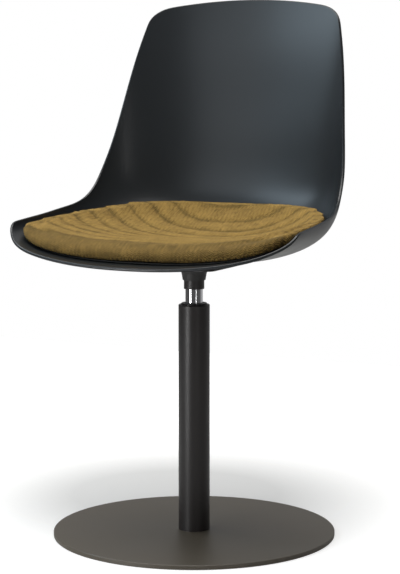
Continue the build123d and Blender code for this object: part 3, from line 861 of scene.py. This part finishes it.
class CHAIR_OT_pad(bpy.types.Operator):
    """Stuff the loose seat pad and raise its knitted ridges"""

    bl_idname = "chair.pad"
    bl_label = "Knitted pad"

    def execute(self, context):
        settings = context.scene.chair_pad
        shell = bpy.data.objects["bucket_shell"]
        graph = context.evaluated_depsgraph_get()
        ground = bvhtree.BVHTree.FromObject(shell, graph)
        pad = pad_blank(settings, ground)
        apply_modifier(pad, "REMESH", mode="VOXEL", voxel_size=PAD_VOXEL)
        swell(pad, settings.swell)
        settle(pad, ground)
        apply_modifier(pad, "SUBSURF", levels=1, render_levels=1)
        knit_ridges(pad, settings)
        smooth(pad)
        knit = knitted_cloth(
            "knit_fabric", tuple(settings.colour), settings.stitch, settings.ridge_spacing
        )
        pad.data.materials.append(knit)
        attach(pad, "seat")
        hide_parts("seat_pad")
        return {"FINISHED"}


def pad_outline(angle, inset):
    """A point of the pad's outline in plan, squarer in front than behind."""
    front = math.sin(angle) < 0
    power = PAD_FRONT_POWER if front else PAD_REAR_POWER
    depth = PAD_WIDEST - PAD_FRONT if front else PAD_REAR - PAD_WIDEST
    reach = (abs(math.cos(angle)) ** power + abs(math.sin(angle)) ** power) ** (-1 / power)
    x = (PAD_HALF_WIDTH - inset) * reach * math.cos(angle)
    y = (depth - inset) * reach * math.sin(angle)
    if front:
        y += PAD_SWEEP * (x / PAD_SWEEP_HALF_WIDTH) ** 2 * -y / depth
    return x, PAD_WIDEST + y


def ground_below(ground, x, y):
    """Point and normal of the shell's inner face under a place on the seat."""
    return ground.ray_cast(Vector((x, y, ABOVE_SEAT)), Vector((0, 0, -1)))[:2]


def upright(gap, normal):
    """Upright distance that keeps a gap square to a slope with the normal."""
    return gap / max(normal.z, STEEPEST_UP)


def pad_blank(settings, ground):
    """The pad before it swells: rings over its underside, round its edge and over its top."""
    rings = [(PAD_EDGE[0][0], scale, 0) for scale in PAD_RINGS]
    rings += [(inset, 1, share) for inset, share in PAD_EDGE]
    rings += [(PAD_EDGE[-1][0], scale, 1) for scale in reversed(PAD_RINGS)]

    def place(column, row):
        inset, scale, share = rings[row]
        x, y = pad_outline(math.tau * column / PAD_COLUMNS, inset * MM)
        x, y = x * scale, PAD_MIDDLE + (y - PAD_MIDDLE) * scale
        hit, normal = ground_below(ground, x, y)
        crown = PAD_CROWN * (1 - scale**2)
        lift = upright(PAD_LIFT, normal) + share * (settings.thickness + crown)
        return hit + Vector((0, 0, lift))

    return wrapped_grid("knitted_pad", PAD_COLUMNS, len(rings) - 1, place)


def swell(pad, most):
    """Blow the pad up a little as cloth, and hold every point near where it was."""
    before = [vertex.co.copy() for vertex in pad.data.vertices]
    select_only(pad)
    cloth = pad.modifiers.new("cloth", "CLOTH")
    cloth.settings.use_pressure = True
    cloth.settings.uniform_pressure_force = SWELL_PRESSURE
    cloth.settings.effector_weights.gravity = 0
    cloth.settings.quality = 5
    scene = bpy.context.scene
    for step in range(1, SWELL_FRAMES + 1):
        scene.frame_set(step)
    bpy.ops.object.modifier_apply(modifier=cloth.name)
    scene.frame_set(1)
    for vertex, start in zip(pad.data.vertices, before):
        move = vertex.co - start
        if move.length > most:
            vertex.co = start + move.normalized() * most


def settle(pad, ground):
    """Keep the pad just clear of the shell under it."""
    for vertex in pad.data.vertices:
        hit, normal = ground_below(ground, vertex.co.x, vertex.co.y)
        if hit is not None:
            vertex.co.z = max(vertex.co.z, hit.z + upright(PAD_LIFT * LIFT_KEPT, normal))


def ridge_phase(x, y, spacing):
    """Number of the ridge at a point, counted from the front. The ridges run from side to
    side, bow towards the front, spread towards the sides and wander a little."""
    wander = sum(
        size * math.sin(by_x * x + by_y * y + turn) for size, by_x, by_y, turn in RIDGE_WANDER
    )
    side = abs(x / PAD_HALF_WIDTH) ** RIDGE_POWER
    start = RIDGE_START * (1 - side) + RIDGE_START_SIDE * side
    step = spacing * (1 + RIDGE_SPREAD * side)
    return (y + wander - start) / step


def knit_ridges(pad, settings):
    """Raise soft ridges on the pad's top, away from its front band and its edge."""
    normals = [vertex.normal.copy() for vertex in pad.data.vertices]
    for vertex, normal in zip(pad.data.vertices, normals):
        x, y = vertex.co.xy
        phase = ridge_phase(x, y, settings.ridge_spacing)
        number = math.floor(phase)
        wave = -0.5 * math.cos(math.tau * (phase - number) ** RIDGE_LEAN)
        by_number, by_x = RIDGE_VARIETY_TURNS
        change = RIDGE_VARIETY * math.sin(number * by_number + by_x * x)
        inside = soft_step(pad_inset(x, y), *RIDGE_EDGE_FADE)
        fade = RIDGE_EDGE_SHARE + (1 - RIDGE_EDGE_SHARE) * inside
        fade *= soft_step(normal.z, *RIDGE_SLOPE_FADE) * soft_step(phase, *RIDGE_FRONT_FADE)
        strength = (1 - RIDGE_VARIETY + change) * fade
        vertex.co += normal * settings.ridge_height * strength * wave


def soft_step(value, start, run):
    """A soft step from 0 to 1 that starts at a value and takes a run of it."""
    share = min(max((value - start) / run, 0), 1)
    return share * share * (3 - 2 * share)


def pad_inset(x, y):
    """How far a point lies inside the pad's outline, roughly."""
    out_x, out_y = pad_outline(math.atan2(y - PAD_WIDEST, x), 0)
    return math.hypot(out_x, out_y - PAD_WIDEST) - math.hypot(x, y - PAD_WIDEST)


class CHAIR_OT_column(bpy.types.Operator):
    """Coat the disc and the column, and plate the gas spring"""

    bl_idname = "chair.column"
    bl_label = "Disc and column"

    def execute(self, context):
        settings = context.scene.chair_metal
        disc = powder_coat(
            "powder_coated_base", tuple(settings.disc_colour), roughness=0.46, specular=0.8
        )
        tube = powder_coat("powder_coated_tube", tuple(settings.tube_colour), roughness=0.38)
        chrome = bright_metal(
            "chrome", (0.86, 0.86, 0.88), settings.chrome, brushed=(1, 1, 0.05)
        )
        finish_nodes(disc, "base_disc")
        finish_nodes(tube, "column_tube")
        finish_nodes(chrome, "gas_cylinder")
        return {"FINISHED"}


class CHAIR_OT_fittings(bpy.types.Operator):
    """Finish the bush, the hub, the lever, the fasteners and what lies inside the column"""

    bl_idname = "chair.fittings"
    bl_label = "Fittings"

    def execute(self, context):
        black = moulded_plastic("black_plastic", (0.019, 0.016, 0.0155), roughness=0.42)
        painted = powder_coat("black_steel", (0.018, 0.017, 0.017), roughness=0.45)
        zinc = bright_metal("zinc_steel", (0.56, 0.56, 0.55), roughness=0.28)
        brass = bright_metal("brass", (0.62, 0.46, 0.2), roughness=0.24)
        rubber = soft_black("black_rubber", 0.015, 0.75, grain_scale=900, grain_height=0.03 * MM)
        felt = soft_black("grey_felt", 0.07, 0.95, grain_scale=700, grain_height=0.2 * MM)
        tape = soft_black("hook_tape", 0.012, 0.9, grain_scale=1300, grain_height=0.3 * MM)
        finish_nodes(black, "guide_bush", "hub_collar", "lever_grip")
        finish_nodes(painted, "hub_socket", "seat_plate", "lever_ears", "height_lever")
        finish_nodes(
            zinc, "base_screws", "foot_plug", "bearing_plate", "lower_race", "upper_race",
            "bearing_balls", "rod_washer", "rod_clip", "piston_rod", "piston_nut",
            "lever_pin", "seat_screws", "release_pin",
        )
        finish_nodes(brass, "bearing_cage", "piston_head", "rod_guide", "threaded_inserts")
        finish_nodes(rubber, "rubber_bumper", "piston_seal", "seat_washers")
        finish_nodes(felt, "floor_underlay", "pad_backing")
        finish_nodes(tape, "pad_fasteners")
        return {"FINISHED"}


def finish_nodes(material, *names):
    """Give each named solid its material."""
    for name in names:
        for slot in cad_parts[name].material_slots:
            slot.material = material


class CHAIR_PT_panel(bpy.types.Panel):
    """Lists the chair's steps in the sidebar"""

    bl_idname = "CHAIR_PT_panel"
    bl_label = "Swivel shell chair"
    bl_space_type = "VIEW_3D"
    bl_region_type = "UI"
    bl_category = "Chair"

    def draw(self, context):
        for operator in OPERATORS:
            self.layout.operator(operator.bl_idname)
        for name, group in SETTINGS.items():
            for key in group.__annotations__:
                self.layout.prop(getattr(context.scene, name), key)


SETTINGS = {
    "chair_shell": ChairShellSettings,
    "chair_pad": ChairPadSettings,
    "chair_metal": ChairMetalSettings,
    "chair_stage": ChairStageSettings,
}
OPERATORS = (CHAIR_OT_stage, CHAIR_OT_shell, CHAIR_OT_pad, CHAIR_OT_column, CHAIR_OT_fittings)


def register():
    """Add the add-on's classes and its settings."""
    for kind in (*SETTINGS.values(), *OPERATORS, CHAIR_PT_panel):
        bpy.utils.register_class(kind)
    for name, group in SETTINGS.items():
        setattr(bpy.types.Scene, name, bpy.props.PointerProperty(type=group))


def unregister():
    """Take them away again."""
    for name in SETTINGS:
        delattr(bpy.types.Scene, name)
    for kind in reversed((*SETTINGS.values(), *OPERATORS, CHAIR_PT_panel)):
        bpy.utils.unregister_class(kind)


def main():
    """Run every step."""
    register()
    bpy.ops.chair.stage()
    bpy.ops.chair.shell()
    bpy.ops.chair.pad()
    bpy.ops.chair.column()
    bpy.ops.chair.fittings()
    deselect()


if __name__ == "__main__":
    main()
